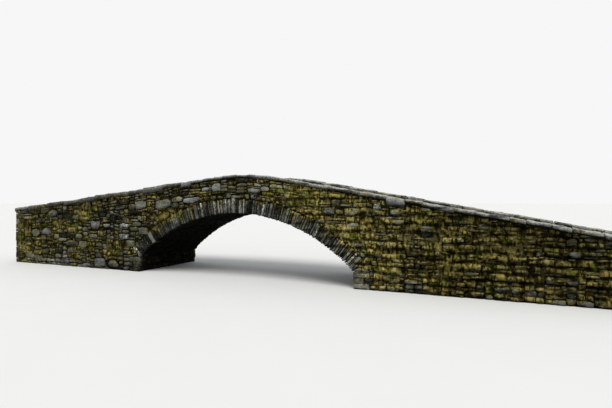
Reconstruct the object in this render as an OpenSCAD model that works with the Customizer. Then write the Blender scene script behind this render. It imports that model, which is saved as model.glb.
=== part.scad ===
// Humpbacked rubble bridge of one segmental arch, with ramped approaches and low coped parapets.
// X runs along the road, Y across it with the front face at -Y, and Z up from the footing.

/* [Arch] */
// Clear span between the springings
span = 9500; // [7500:100:11500]
// Rise of the soffit above the springings
rise = 1950; // [1500:50:2400]
// Depth of the arch ring, from soffit to back
ring_depth = 560; // [420:20:700]
// How far the face voussoirs reach in under the road
voussoir_len = 450; // [300:25:600]
// Height of the springings above the footing
springing = 600; // [400:50:1200]
// Length of each abutment behind its springing
abutment_len = 1650; // [1300:50:2200]

/* [Roadway] */
// Clear width between the parapets
road_w = 2900; // [1800:100:4000]
// Masonry over the arch ring at the crest of the road
crown_cover = 200; // [160:10:400]
// Thickness of the rammed road surface
road_depth = 150; // [80:10:180]

/* [Walls] */
// Thickness of the spandrels, wing walls and parapets
wall_t = 450; // [360:10:600]
// Height of the parapets above the road, below their coping
parapet_h = 570; // [350:10:900]
// Thickness of the walls that close the two ends
end_wall_t = 500; // [400:50:800]

/* [Coping] */
// Thickness of the coping slabs
coping_t = 140; // [100:10:200]
// How far the coping stands out past the faces and ends of the walls
coping_over = 60; // [30:5:100]
// Distance from the arch's centre to the big squared coping stone
block_x = 5920; // [3500:20:8000]
// Length of that stone along the wall
block_len = 620; // [400:20:900]
// Height of that stone, which is let down into the parapet
block_h = 300; // [220:10:450]

/* [Approaches] */
// Length of the masonry to the left of the arch's centre
left_len = 12700; // [10000:100:16000]
// Length of the masonry to the right of the arch's centre
right_len = 13900; // [10500:100:17000]
// Fall of the left ramp, as a share of its length
left_fall = 0.111; // [0.05:0.001:0.140]
// Fall of the right ramp, as a share of its length
right_fall = 0.172; // [0.08:0.001:0.210]
// Distance from the arch's centre to the crest of the road
crest_x = 530; // [-1500:10:1500]
// Half the length of the rounded crest
crest_half = 1400; // [700:50:2400]

/* [Hidden] */
// Straight lengths in the rounded crest, an even number, as the slabs are straight
crest_steps = 6;
// Facets in a full turn of the arch
arc_steps = 360;
// The radius of the soffit follows from the span and the rise
soffit_r = (span * span / 4 + rise * rise) / (2 * rise);
back_r = soffit_r + ring_depth;
centre_z = springing + rise - soffit_r;
half_angle = asin(span / 2 / soffit_r);
// The ring is set out in three lengths: two haunches and a crown
crown_angle = half_angle / 3;
skew_x = back_r * sin(half_angle);
skew_z = centre_z + back_r * cos(half_angle);
abutment_x = span / 2 + abutment_len;
// The origin is under the middle of the whole length, so the arch stands to one side of it
arch_x = (left_len - right_len) / 2;
outer_y = road_w / 2 + wall_t;
// Depths below the coping's top line
road_drop = coping_t + parapet_h;
bed_drop = road_drop + road_depth;
// The two ramps, carried on, would meet at the peak
crest_top = springing + rise + ring_depth + crown_cover + road_drop;
peak_z = crest_top + crest_half * left_fall * right_fall / (left_fall + right_fall);
crest_left = crest_x - crest_half;
crest_right = crest_x + crest_half;
curve = (left_fall + right_fall) / (4 * crest_half);

ENDS = ["left", "right"];
SIDES = ["front", "back"];
LENGTHS = ["left", "crown", "right"];
COPINGS = ["left", "crown", "right", "block", "right_end"];
NODES = concat(
    [for (e = ENDS) str("abutment_", e)],
    [for (s = SIDES, l = LENGTHS) str("arch_ring_", s, "_", l)],
    [for (l = LENGTHS) str("vault_", l)],
    [for (s = SIDES, e = ENDS) str("spandrel_", s, "_", e)],
    [for (s = SIDES, e = ENDS) str("wing_wall_", s, "_", e)],
    [for (s = SIDES, l = LENGTHS) str("parapet_", s, "_", l)],
    [for (s = SIDES, c = COPINGS) str("coping_", s, "_", c)],
    [for (e = ENDS) str("haunch_fill_", e)],
    [for (e = ENDS) str("ramp_fill_", e)],
    [for (e = ENDS) str("end_wall_", e)],
    [for (l = LENGTHS) str("road_", l)]
);
node = "all";
function wanted(name) = node == "all" || node == name;

// Height of the coping's top line at a distance x from the arch's centre
function top_z(x) =
    x < crest_left ? peak_z + left_fall * (x - crest_x) :
    x > crest_right ? peak_z - right_fall * (x - crest_x) :
    peak_z + left_fall * (x - crest_x) - curve * pow(x - crest_left, 2);

// Stations from x0 to x1, with one at each joint of the rounded crest
function stations(x0, x1) = [
    x0,
    for (i = [0 : crest_steps])
        let (x = crest_left + i * 2 * crest_half / crest_steps)
        if (x > x0 + 1 && x < x1 - 1) x,
    x1
];
function line(xs, drop) = [for (x = xs) [x, top_z(x) - drop]];
function backwards(list) = [for (i = [len(list) - 1 : -1 : 0]) list[i]];

// A strip that follows the road, between two depths below the coping's top
module strip(x0, x1, upper, lower) {
    xs = stations(x0, x1);
    polygon(concat(line(xs, upper), line(backwards(xs), lower)));
}

// A wall from the footing up to a depth below the coping's top
module wall(x0, x1, upper) {
    polygon(concat(line(stations(x0, x1), upper), [[x1, 0], [x0, 0]]));
}

module arch_disc(r) {
    translate([0, centre_z]) circle(r, $fn = arc_steps);
}

// Everything under the back of the arch, with the abutments on which it stands
module arch_and_abutments() {
    arch_disc(back_r);
    for (e = ENDS) abutment_outline(e);
}

module abutment_outline(end) {
    mirror([end == "left" ? 1 : 0, 0])
        polygon([
            [span / 2, 0], [span / 2, springing], [skew_x, skew_z],
            [abutment_x, skew_z], [abutment_x, 0]
        ]);
}

// Stands an outline up in place, from y0 to y1 across the bridge
module across(y0, y1) {
    translate([arch_x, y1, 0])
        rotate([90, 0, 0])
        linear_extrude(y1 - y0) children();
}

// Stands an outline up at one side, from depth d0 to d1 behind that side's wall face
module at_side(side, d0, d1) {
    facing(side) across(-outer_y + d0, -outer_y + d1) children();
}

module facing(side) {
    mirror([0, side == "back" ? 1 : 0, 0]) children();
}

module between_walls() {
    across(-road_w / 2, road_w / 2) children();
}

// One length of the arch, between two angles from the crown and from y0 to y1
module arch_sector(from, to, y0, y1) {
    translate([arch_x, y1, centre_z])
        rotate([90, 0, 0])
        rotate([0, 0, 90 - to])
        rotate_extrude(angle = to - from, $fn = arc_steps)
        translate([soffit_r, 0])
        square([ring_depth, y1 - y0]);
}

module arch_length(length, y0, y1) {
    if (length == "left") arch_sector(-half_angle, -crown_angle, y0, y1);
    if (length == "crown") arch_sector(-crown_angle, crown_angle, y0, y1);
    if (length == "right") arch_sector(crown_angle, half_angle, y0, y1);
}

module abutment(end) {
    color("dimgray") across(-outer_y, outer_y) abutment_outline(end);
}

module arch_ring(side, length) {
    color("slategray")
        facing(side)
        arch_length(length, -outer_y, -outer_y + voussoir_len);
}

module vault(length) {
    color("darkslategray")
        arch_length(length, -outer_y + voussoir_len, outer_y - voussoir_len);
}

// The part of a wall or fill over one half of the arch; the halves meet under the crest
module over_arch(end, upper) {
    difference() {
        if (end == "left") wall(-abutment_x, crest_x, upper);
        else wall(crest_x, abutment_x, upper);
        arch_and_abutments();
    }
}

module spandrel(side, end) {
    color("darkolivegreen") at_side(side, 0, wall_t) over_arch(end, road_drop);
}

module wing_wall(side, end) {
    color("olivedrab")
        at_side(side, 0, wall_t)
        if (end == "left") wall(-left_len, -abutment_x, road_drop);
        else wall(abutment_x, right_len, road_drop);
}

module parapet(side, length) {
    color("gray")
        at_side(side, 0, wall_t)
        if (length == "left") strip(-left_len, crest_left, coping_t, road_drop);
        else if (length == "crown") strip(crest_left, crest_right, coping_t, road_drop);
        else difference() {
            strip(crest_right, right_len, coping_t, road_drop);
            coping_outline("block");
        }
}

module coping_outline(place) {
    if (place == "left") strip(-left_len - coping_over, crest_left, 0, coping_t);
    if (place == "crown") strip(crest_left, crest_right, 0, coping_t);
    if (place == "right") strip(crest_right, block_x, 0, coping_t);
    if (place == "block") strip(block_x, block_x + block_len, 0, block_h);
    if (place == "right_end")
        strip(block_x + block_len, right_len + coping_over, 0, coping_t);
}

module coping(side, place) {
    color("lightgray")
        at_side(side, -coping_over, wall_t + coping_over) coping_outline(place);
}

module haunch_fill(end) {
    color("saddlebrown") between_walls() over_arch(end, bed_drop);
}

module ramp_fill(end) {
    color("sienna")
        between_walls()
        if (end == "left") wall(-left_len + end_wall_t, -abutment_x, bed_drop);
        else wall(abutment_x, right_len - end_wall_t, bed_drop);
}

module end_wall(end) {
    color("dimgray")
        between_walls()
        if (end == "left") wall(-left_len, -left_len + end_wall_t, bed_drop);
        else wall(right_len - end_wall_t, right_len, bed_drop);
}

module road(length) {
    color("tan")
        between_walls()
        difference() {
            if (length == "left") strip(-left_len, crest_left, road_drop, bed_drop);
            else if (length == "crown") strip(crest_left, crest_right, road_drop, bed_drop);
            else strip(crest_right, right_len, road_drop, bed_drop);
            arch_disc(back_r);
        }
}

for (e = ENDS) {
    if (wanted(str("abutment_", e))) abutment(e);
    if (wanted(str("haunch_fill_", e))) haunch_fill(e);
    if (wanted(str("ramp_fill_", e))) ramp_fill(e);
    if (wanted(str("end_wall_", e))) end_wall(e);
}
for (l = LENGTHS) {
    if (wanted(str("vault_", l))) vault(l);
    if (wanted(str("road_", l))) road(l);
}
for (s = SIDES, e = ENDS) {
    if (wanted(str("spandrel_", s, "_", e))) spandrel(s, e);
    if (wanted(str("wing_wall_", s, "_", e))) wing_wall(s, e);
}
for (s = SIDES, l = LENGTHS) {
    if (wanted(str("arch_ring_", s, "_", l))) arch_ring(s, l);
    if (wanted(str("parapet_", s, "_", l))) parapet(s, l);
}
for (s = SIDES, c = COPINGS)
    if (wanted(str("coping_", s, "_", c))) coping(s, c);
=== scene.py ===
import math

import bpy
import numpy as np
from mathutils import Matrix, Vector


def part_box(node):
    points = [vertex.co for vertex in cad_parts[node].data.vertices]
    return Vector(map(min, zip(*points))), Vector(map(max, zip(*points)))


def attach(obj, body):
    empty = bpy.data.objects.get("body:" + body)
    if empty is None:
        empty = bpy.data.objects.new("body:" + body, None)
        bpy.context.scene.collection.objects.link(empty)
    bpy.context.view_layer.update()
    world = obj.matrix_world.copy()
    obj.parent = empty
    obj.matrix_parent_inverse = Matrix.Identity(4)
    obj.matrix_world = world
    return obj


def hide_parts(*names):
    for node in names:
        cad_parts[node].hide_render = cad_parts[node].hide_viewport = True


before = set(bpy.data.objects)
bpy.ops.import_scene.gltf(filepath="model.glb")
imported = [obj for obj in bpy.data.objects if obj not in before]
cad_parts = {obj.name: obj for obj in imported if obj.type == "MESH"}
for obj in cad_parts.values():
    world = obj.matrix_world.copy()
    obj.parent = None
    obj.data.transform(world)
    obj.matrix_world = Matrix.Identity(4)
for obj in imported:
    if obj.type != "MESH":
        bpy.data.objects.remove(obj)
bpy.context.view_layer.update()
rng = np.random.default_rng(41)
print("frame loaded with", len(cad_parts), "nodes")

# Lines of the bridge, read off the frame
faceY = -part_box("wing_wall_front_left")[0].y  # outer faces of the walls
innerY = -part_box("parapet_front_left")[1].y  # road faces of the parapets
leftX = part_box("wing_wall_front_left")[0].x
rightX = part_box("wing_wall_front_right")[1].x
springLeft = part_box("abutment_left")[1].x
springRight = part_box("abutment_right")[0].x
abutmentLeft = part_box("abutment_left")[0].x
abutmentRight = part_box("abutment_right")[1].x
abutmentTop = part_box("abutment_left")[1].z
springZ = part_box("vault_left")[0].z
crestLeft, crestRight = (corner.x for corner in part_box("road_crown"))
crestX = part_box("spandrel_front_left")[1].x
blockLow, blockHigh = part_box("coping_front_block")

# The frame's thicknesses that its boxes don't show
ringDepth = 0.56
copingThick = 0.14
copingOver = 0.06
blockDeep = 0.17  # the squared coping stone's depth below the others
parapetHigh = 0.57
wallThick = faceY - innerY

archX = (springLeft + springRight) / 2
halfSpan = (springRight - springLeft) / 2
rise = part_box("vault_crown")[1].z - ringDepth - springZ
soffitR = (halfSpan ** 2 + rise ** 2) / (2 * rise)
backR = soffitR + ringDepth
archZ = springZ + rise - soffitR
halfAngle = math.asin(halfSpan / soffitR)
crownAngle = halfAngle / 3


def readTopLine():
    heights = {}
    for place in ("left", "crown", "right", "block", "right_end"):
        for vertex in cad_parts["coping_front_" + place].data.vertices:
            x = round(vertex.co.x, 3)
            heights[x] = max(heights.get(x, 0), vertex.co.z)
    xs = sorted(heights)
    return np.array(xs), np.array([heights[x] for x in xs])


topXs, topZs = readTopLine()


def topZ(x):
    return np.interp(x, topXs, topZs)


def underZ(x):
    return topZ(x) - copingThick


def besideBlock(x, above):
    # False where the squared coping stone is let down into the parapet
    return (x < blockLow.x - 0.02) | (x > blockHigh.x + 0.02) | (above > blockDeep)


def roadZ(x):
    return underZ(x) - parapetHigh


# Noise on a hashed lattice, the same in every run
def hashCells(cells, seed):
    mixed = np.sin(cells @ np.array([127.1, 311.7, 74.7]) + seed * 19.19) * 43758.5453
    return mixed - np.floor(mixed)


def valueNoise(points, seed):
    low = np.floor(points)
    part = points - low
    part = part * part * (3 - 2 * part)
    total = np.zeros(len(points))
    for corner in np.ndindex(2, 2, 2):
        share = np.where(np.array(corner) == 1, part, 1 - part).prod(axis=1)
        total += share * hashCells(low + corner, seed)
    return total * 2 - 1


def layeredNoise(points, size, seed, layers=3):
    points = np.asarray(points, float)
    total = np.zeros(len(points))
    for layer in range(layers):
        total += valueNoise(points / size * 2 ** layer + 31.7 * layer, seed + layer) / 2 ** layer
    return total


def noiseOffsets(points, size, seed):
    return np.stack([layeredNoise(points, size, seed + 7 * axis, 2) for axis in range(3)], axis=1)


def readOff(profile, spot):
    # A value that changes along the bridge, read off pairs of place and value
    places, values = zip(*profile)
    return np.interp(spot, places, values)


# A heap gathers the triangles of one piece, with four looks for each vertex: its stone's tone,
# how pale its lichen is, how mossy it is, and its painted daylight, low down in the joints and in shaded
# places, where the material paints shade
heaps = {}


def addToHeap(name, points, triangles, looks, heaps=heaps):
    heap = heaps.setdefault(name, {"points": [], "triangles": [], "looks": [], "count": 0})
    heap["points"].append(points)
    heap["triangles"].append(triangles + heap["count"])
    heap["looks"].append(looks)
    heap["count"] += len(points)


def joined(heap):
    return [np.concatenate(heap[part]) for part in ("points", "triangles", "looks")]


# Moss is thin on the crest and the arch's left half, thick on the right ramp and kept off by wet
mossLook = {
    "along": ((leftX, 0.5), (-9, 0.5), (-6, 0.4), (-2, 0.2), (1, 0.34), (2.5, 0.66), (4.5, 0.8),
              (rightX, 0.68)),
    "patchSize": 0.9, "patchy": 0.3, "most": 1.2, "wetTop": 0.7, "wetFoot": 0.2, "wetArchway": 0.4,
    "bridgedFrom": 0.6, "bridged": 0.85,
}
# Patches of thicker moss: centre along and up, reach along and up, and how much is added
mossPatches = [
    (-3.7, 2.4, 0.9, 0.3, 1.1), (-8.6, 2.35, 0.5, 0.2, 0.35), (-10.0, 1.9, 1.0, 0.2, 0.35),
    (2.6, 2.9, 0.7, 0.3, 0.2), (-6.2, 1.1, 1.2, 0.25, 0.3), (0.6, 3.1, 0.6, 0.12, 0.3),
    (-2.4, 3.3, 0.4, 0.1, 0.3), (-4.6, 1.8, 0.5, 0.15, 0.4),
]

# Painted daylight: it fades to the far right, the feet of the arch get painted shade, and its inside is
# painted near black as shade
daylightLook = {
    "along": ((3, 1), (5, 0.86), (7.6, 0.65), (10, 0.57)), "inside": 0.16,
    "leftFoot": 2.2, "rightFoot": 0.4, "footFade": 1.4, "footTop": 1.2, "footHigh": 0.9, "footDark": 0.5,
}
# Patches of painted shade on the wall: the same measures, and how much daylight each takes
shadePatches = [
    (-10.9, 1.75, 0.7, 0.3, 0.4), (-5.3, 1.85, 0.45, 0.3, 0.3), (-4.7, 1.6, 0.35, 0.3, 0.35),
    (6.4, 2.65, 0.4, 0.2, 0.35), (8.0, 2.5, 0.8, 0.2, 0.35), (9.3, 2.25, 0.7, 0.25, 0.4),
    (10.6, 2.0, 0.8, 0.4, 0.35),
]


def addPatches(total, points, patches, sign):
    for centreX, centreZ, reachX, reachZ, amount in patches:
        spread = ((points[:, 0] - centreX) / reachX) ** 2 + ((points[:, 2] - centreZ) / reachZ) ** 2
        total = total + sign * amount * np.exp(-spread)
    return total


def mossAt(points):
    look = mossLook
    x, z = points[:, 0], points[:, 2]
    inArchway = (np.abs(x - archX) < halfSpan + 0.7) & (z < springZ + 0.1)
    wet = look["wetFoot"] * np.clip((look["wetTop"] - z) / look["wetTop"], 0, 1)
    wet = wet + look["wetArchway"] * inArchway
    base = addPatches(readOff(look["along"], x), points, mossPatches, 1) - wet
    return np.clip(base + look["patchy"] * layeredNoise(points, look["patchSize"], 11), 0, look["most"])


def bridgedAt(points):
    # How far moss has closed the joints over, seen as daylight on it
    closed = 2.2 * (mossAt(points) - mossLook["bridgedFrom"]) + 1.4 * layeredNoise(points, 0.4, 71) + 0.1
    return mossLook["bridged"] * np.clip(closed, 0, 1)


def daylightAt(points):
    look = daylightLook
    x, z = points[:, 0], points[:, 2]
    away = np.abs(x - archX)
    reach = np.where(x < archX, look["leftFoot"], look["rightFoot"])
    nearFoot = (np.clip((halfSpan + reach - away) / look["footFade"], 0, 1)
                * np.clip((look["footTop"] - z) / look["footHigh"], 0, 1))
    inside = (away < halfSpan + 0.2) & (np.abs(points[:, 1]) < faceY - 0.05) & (z < roadZ(x) - 0.1)
    fading = addPatches(readOff(look["along"], x), points, shadePatches, -1)
    fading = np.where(z > underZ(x) - 0.02, 1, fading)  # the coping catches the light all along
    return (1 - look["footDark"] * nearFoot) * fading * np.where(inside, look["inside"], 1)


# Rubble faces
def packStones(free, sizeAt, reserved):
    # Fills a grid with rectangles, from the bottom course up. Cells are 1 where free, -1 where barred,
    # and 0 where a stone may lie in part, to be cut to shape later
    rows, columns = free.shape
    owner = np.full(free.shape, -1)
    stones = []

    def isClear(i, j, w, h):
        if i < 0 or j < 0 or i + w > columns or j + h > rows:
            return False
        cells = free[j:j + h, i:i + w]
        return cells.min() >= 0 and cells.mean() > 0.55 and (owner[j:j + h, i:i + w] == -1).all()

    def claim(i, j, w, h, kind):
        owner[j:j + h, i:i + w] = len(stones)
        stones.append((i, j, w, h, kind))

    for i, j, w, h, kind in reserved:
        if isClear(i, j, w, h):
            claim(i, j, w, h, kind)
    for attempt in range(rows * columns // 50):
        i, j = rng.integers(columns), rng.integers(rows)
        sizes = sizeAt(i, j)
        if rng.random() < sizes["bigChance"]:
            w = rng.integers(sizes["big"][0], sizes["big"][1] + 1)
            h = max(2, round(w * rng.uniform(0.45, 0.85)))
            if isClear(i, j, w, h):
                claim(i, j, w, h, "big")
    for j in range(rows):
        i = 0
        while i < columns:
            if owner[j, i] != -1 or free[j, i] < 1:
                i += 1
                continue
            sizes = sizeAt(i, j)
            run = 1
            while run < sizes["wide"][1] + 3 and isClear(i + run, j, 1, 1):
                run += 1
            low, high = sizes["wide"]
            w = min(run, round(low + (high - low) * rng.random() ** 1.5))
            if run - w <= 2:
                w = run  # no sliver left beside it
            elif j > 0 and owner[j - 1, i + w - 1] != owner[j - 1, i + w]:
                w -= 1 if w < 5 else 2  # keeps an upright joint from running on from the one below
            low, high = sizes["high"]
            h = round(low + (high - low) * rng.random() ** 1.2)
            h = min(h, max(1, round(w * sizes["squat"] * (1.6 if rng.random() < 0.08 else 1))))
            if sizes["course"]:
                left = sizes["course"] - j % sizes["course"]
                h = left if left - h < 2 else h  # no thin leftover below a bed line
            while h > 1 and not isClear(i, j, w, h):
                h -= 1
            claim(i, j, w, h, "plain")
            i += w
    return stones


def clipOutline(outline, origin, normal):
    # Keeps the part of an outline on the side of the line that its normal points to
    side = (outline - origin) @ normal
    kept = []
    for k in range(len(outline)):
        a, b = outline[k - 1], outline[k]
        sa, sb = side[k - 1], side[k]
        if (sa >= 0) != (sb >= 0):
            kept.append(a + (b - a) * sa / (sa - sb))
        if sb >= 0:
            kept.append(b)
    return np.array(kept)


def outlineArea(outline):
    following = np.roll(outline, -1, axis=0)
    return 0.5 * np.sum(outline[:, 0] * following[:, 1] - outline[:, 1] * following[:, 0])


def shrinkOutline(outline, distance):
    along = np.roll(outline, -1, axis=0) - outline
    along /= np.maximum(np.linalg.norm(along, axis=1, keepdims=True), 1e-6)
    inward = np.stack([-along[:, 1], along[:, 0]], axis=1)
    return outline + (inward + np.roll(inward, 1, axis=0)) / 2 * distance


# How stones are shaped, in metres; raggedness and taper are shares of a stone's half width.
# The beds and joints wander slowly (along, up) and jitter by a share of a cell, but not near the wall's edges
shaping = {"bendEvery": 0.11, "ragged": 0.035, "taper": 0.2, "arris": (0.012, 0.032), "chips": (0.01, 0.04),
           "wander": (0.026, 0.03), "jitter": (0.22, 0.2), "calmWithin": 0.12, "rough": (0.005, 0.004),
           "smallest": 0.0009, "sunkUnder": 0.022, "sunk": (-0.06, -0.04)}


def stoneOutline(i, j, w, h, cell, warp, corners):
    # Goes counterclockwise round a stone's cells; each corner is broken off by its own amount,
    # and the longer sides bend in a little on the way
    cutAcross, cutUp = rng.uniform(*corners, (2, 4))
    spots = []
    for corner, (right, top) in enumerate(((1, 1), (-1, 1), (-1, -1), (1, -1))):
        onSide, onBed = (right, top * cutUp[corner]), (right * cutAcross[corner], top)
        spots += (onSide, onBed) if right == top else (onBed, onSide)
    outline = []
    for k, spot in enumerate(spots):
        outline.append(spot)
        if k % 2 == 0:
            continue
        after = spots[(k + 1) % 8]
        length = math.hypot((after[0] - spot[0]) * w * cell[0], (after[1] - spot[1]) * h * cell[1]) / 2
        bends = min(3, int(length / shaping["bendEvery"]))
        for bend in range(bends):
            share = (bend + rng.uniform(0.75, 1.25)) / (bends + 1)
            outline.append([a + (b - a) * share for a, b in zip(spot, after)])
    across, up = np.array(outline).T
    reach = 1 - np.abs(rng.normal(0, shaping["ragged"], len(across)))
    across, up = across * reach, up * reach
    taperAcross, taperUp = rng.uniform(-shaping["taper"], shaping["taper"], 2)
    across = across * (1 - np.abs(taperAcross) * (1 + np.sign(taperAcross) * up) / 2)
    up = up * (1 - np.abs(taperUp) * (1 + np.sign(taperUp) * across) / 2)
    points = np.column_stack([i + w / 2 * (1 + across), j + h / 2 * (1 + up)])
    low = np.clip(np.floor(points).astype(int), 0, np.array(warp.shape[1::-1]) - 2)
    part = points - low
    shift = np.zeros_like(points)
    for a, b in ((0, 0), (1, 0), (0, 1), (1, 1)):
        share = (part[:, 0] if a else 1 - part[:, 0]) * (part[:, 1] if b else 1 - part[:, 1])
        shift += share[:, None] * warp[low[:, 1] + b, low[:, 0] + a]
    return points * cell + shift


domeTriangles = {}


def domeFaces(n):
    # A skirt into the joint, an arris, a shoulder and a crown, round n outline points
    if n not in domeTriangles:
        faces = []
        for k in range(n):
            after = (k + 1) % n
            for ring in range(3):
                a, b = ring * n + k, ring * n + after
                faces += [(a, b, b + n), (a, b + n, a + n)]
            faces.append((3 * n + k, 3 * n + after, 4 * n))
        domeTriangles[n] = np.array(faces)
    return domeTriangles[n]


def domeStone(outline, style):
    # Local points (along, up, out) of one rubble stone
    centre = outline.mean(axis=0)
    half = np.abs(outline - centre).max(axis=0)
    arris = min(rng.uniform(*shaping["arris"]), 0.35 * half.min())
    bulge = rng.uniform(*style["bulge"]) * min(1, half.min() / 0.1)
    proud = rng.uniform(*style["proud"])
    tilt = rng.normal(0, style["tilt"], 2)
    shoulder = np.maximum(1 - arris * 1.2 / half, 0.6)
    rings = [(outline - centre) * 0.96, outline - centre, (outline - centre) * shoulder,
             (outline - centre) * 0.5 + rng.normal(0, 0.06, 2) * half]
    flat = np.concatenate(rings + [np.zeros((1, 2))])
    n = len(outline)
    out = np.concatenate([np.full(n, -style["depth"]), np.full(n, proud - arris), np.full(n, proud),
                          np.full(n, proud + bulge * 0.75), [proud + bulge]])
    front = np.arange(4 * n + 1) >= n
    out += front * (flat @ tilt)
    for cut in range(rng.integers(0, 3)):
        angle = rng.uniform(0, 2 * math.pi)
        reach = (flat / half) @ np.array([math.cos(angle), math.sin(angle)])
        out -= front * np.maximum(reach - rng.uniform(0.15, 0.7), 0) * rng.uniform(*shaping["chips"])
    # Painted shade: the skirt down in the joint is darkest, the arris gets some, the face none
    paintedDaylight = np.concatenate([np.zeros(n), np.full(n, 0.62), np.full(n, 0.95), np.ones(n + 1)])
    return np.column_stack([flat + centre, out]), domeFaces(n), paintedDaylight


# Stones listed one by one: tone, paleness (over 1 is crusted white), and how bare of moss
featureShades = {
    "pale": (0.7, 0.52, 0.5), "grey": (0.6, 0.2, 0.5), "white": (0.3, 1.5, 0.5), "dark": (-0.1, 0, 0.8),
}


def layRubble(face):
    # Packs, shapes and places the stones of one wall face
    cell = np.array(face["cell"])
    columns = round((face["u"][1] - face["u"][0]) / cell[0])
    rows = round((face["v"][1] - face["v"][0]) / cell[1])
    origin = np.array([face["u"][0], face["v"][0]])
    nodeU, nodeV = np.meshgrid(np.arange(columns + 1) * cell[0], np.arange(rows + 1) * cell[1])
    flatNodes = np.column_stack([nodeU.ravel(), nodeV.ravel(), np.full(nodeU.size, 5.0 * face["seed"])])
    calm = np.minimum(np.minimum(nodeV, nodeV[-1, 0] - nodeV) / shaping["calmWithin"], 1)
    calmEnds = np.minimum(np.minimum(nodeU, nodeU[0, -1] - nodeU) / shaping["calmWithin"], 1)
    wanderU, wanderV = np.array(shaping["wander"]) * face.get("wave", 1)
    jitterU, jitterV = shaping["jitter"]
    warpU = wanderU * layeredNoise(flatNodes, 0.5, 3).reshape(nodeU.shape)
    warpV = wanderV * layeredNoise(flatNodes, 0.7, 5).reshape(nodeU.shape)
    warpU += rng.uniform(-1, 1, nodeU.shape) * jitterU * cell[0]
    warpV += rng.uniform(-1, 1, nodeU.shape) * jitterV * cell[1]
    warp = np.stack([warpU * calmEnds, warpV * calm], axis=2)
    centreU = origin[0] + (np.arange(columns) + 0.5) * cell[0]
    centreV = origin[1] + (np.arange(rows) + 0.5) * cell[1]
    gridU, gridV = np.meshgrid(centreU, centreV)
    free = face["free"](gridU, gridV)
    reserved = []
    for u0, v0, w, h, kind in face.get("reserved", ()):
        i, j = round((u0 - origin[0]) / cell[0]), round((v0 - origin[1]) / cell[1])
        reserved.append((i, j, max(1, round(w / cell[0])), max(1, round(h / cell[1])), kind))

    def sizeAt(i, j):
        style = face["sizes"](centreU[i], centreV[j])
        return {
            "wide": [max(1, round(value / cell[0])) for value in style["wide"]],
            "high": [max(1, round(value / cell[1])) for value in style["high"]],
            "big": [max(2, round(value / cell[0])) for value in style["big"]],
            "bigChance": style["bigChance"],
            "course": round(style.get("course", 0) / cell[1]),
            "squat": 0.85 * cell[0] / cell[1],
        }

    local = {}
    laid = 0
    for i, j, w, h, kind in packStones(free, sizeAt, reserved):
        if w * h == 1 and "sunk" in face and rng.random() < 0.4:
            continue  # a hole where a pinning has dropped out
        outline = stoneOutline(i, j, w, h, cell, warp, face["corners"]) + origin
        outline = face["bend"](outline)
        outline = face["trim"](outline)
        if len(outline) < 4 or outlineArea(outline) < shaping["smallest"]:
            continue
        low, high = face["joint"]
        gap = low if kind == "quoin" else low + (high - low) * rng.random() ** 2
        outline = shrinkOutline(outline, min(gap, 0.25 * min(w * cell[0], h * cell[1])) / 2)
        if outlineArea(outline) < shaping["smallest"] * 2 / 3:
            continue
        centre = outline.mean(axis=0)
        paleSpread = rng.uniform(-0.1, 0.1)
        plain = (1.2 * rng.random() - 0.2, rng.random() ** 3 * face.get("pale", 0.6), 0)
        tone, pale, bare = featureShades.get(kind, plain)
        if kind == "pale":
            pale += paleSpread
        mossOwn = rng.normal(0, 0.26) - bare
        node = face["node"](centre[0], centre[1])
        if kind == "quoin":
            addQuoin(node, outline, face, tone, pale)
        else:
            small = kind == "plain" and outlineArea(outline) < shaping["sunkUnder"]
            sunk = small and rng.random() < face.get("sunk", 0)
            style = dict(face, proud=shaping["sunk"]) if sunk else face
            points, triangles, paintedDaylight = domeStone(outline, style)
            # A sunk stone lies back in the wall and gets more painted shade
            paintedDaylight = paintedDaylight * 0.3 if sunk else paintedDaylight
            low, high = outline[:, 1].min(), outline[:, 1].max()
            upper = (points[:, 1] - low) / (high - low) - 0.5
            looks = np.column_stack([np.full(len(points), tone), np.full(len(points), pale),
                                     mossOwn + 0.2 * upper, paintedDaylight])
            addToHeap(node, points, triangles, looks, local)
        laid += 1
    for node, heap in local.items():
        points, triangles, looks = joined(heap)
        spot = points + [0, 0, 3.0 * face["seed"]]
        fine, broad = shaping["rough"]
        rough = fine * noiseOffsets(spot, 0.09, 21) + broad * noiseOffsets(spot, 0.3, 51)
        points = face["place"](points + rough * np.array([1, 1, 1.3]) * (looks[:, 3:] > 0))
        looks[:, 2] = (mossAt(points) + looks[:, 2]) * face.get("moss", 1)
        looks[:, 3] = np.maximum(looks[:, 3], bridgedAt(points) * face.get("moss", 1)) * daylightAt(points)
        addToHeap(node, points, triangles, looks)
    if face.get("mortar", True):
        addMortar(face, face["behind"](gridU, gridV) if "behind" in face else free)
    return laid


mortarLook = {"deep": -0.052, "filling": 0.046, "rough": 0.016, "highest": -0.004}


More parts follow.
